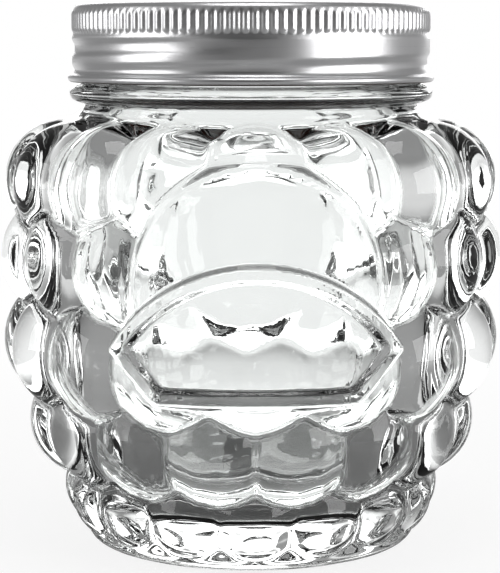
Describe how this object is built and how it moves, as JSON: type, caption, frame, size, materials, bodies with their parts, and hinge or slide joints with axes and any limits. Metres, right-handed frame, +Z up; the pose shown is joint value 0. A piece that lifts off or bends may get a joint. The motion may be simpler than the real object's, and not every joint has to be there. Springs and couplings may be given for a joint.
{
  "type": "jam pot with screw lid",
  "caption": "Clear pressed-glass jam pot shaped like a berry, with a bare arched panel and a two-part silver screw lid.",
  "frame": {"origin": "centre of the foot, on the surface that the pot stands on", "axes": "+Z up along the pot's axis, -Y towards the arched panel, +X to the right of it"},
  "size_m": [0.1036, 0.1055, 0.111],
  "materials": {
    "glass": "clear pressed glass",
    "tinplate": "satin",
    "seal": "soft, slightly glossy"
  },
  "bodies": {
    "jar": {"glass_jar": "glass"},
    "disc": {"lid_disc": "tinplate", "sealing_ring": "seal"},
    "band": {"screw_band": "tinplate"}
  },
  "joints": [
    {"name": "lid_rise", "type": "slide", "parent": "jar", "child": "disc", "axis": [0, 0, 1], "range_m": [0, 0.0204]},
    {"name": "band_turn", "type": "hinge", "parent": "disc", "child": "band", "pos_m": [0, 0, 0.11], "axis": [0, 0, 1], "range_deg": [0, 1440]}
  ],
  "couplings": [
    {"joint": "lid_rise", "follows": "band_turn", "m_per_rad": 0.00080851}
  ]
}
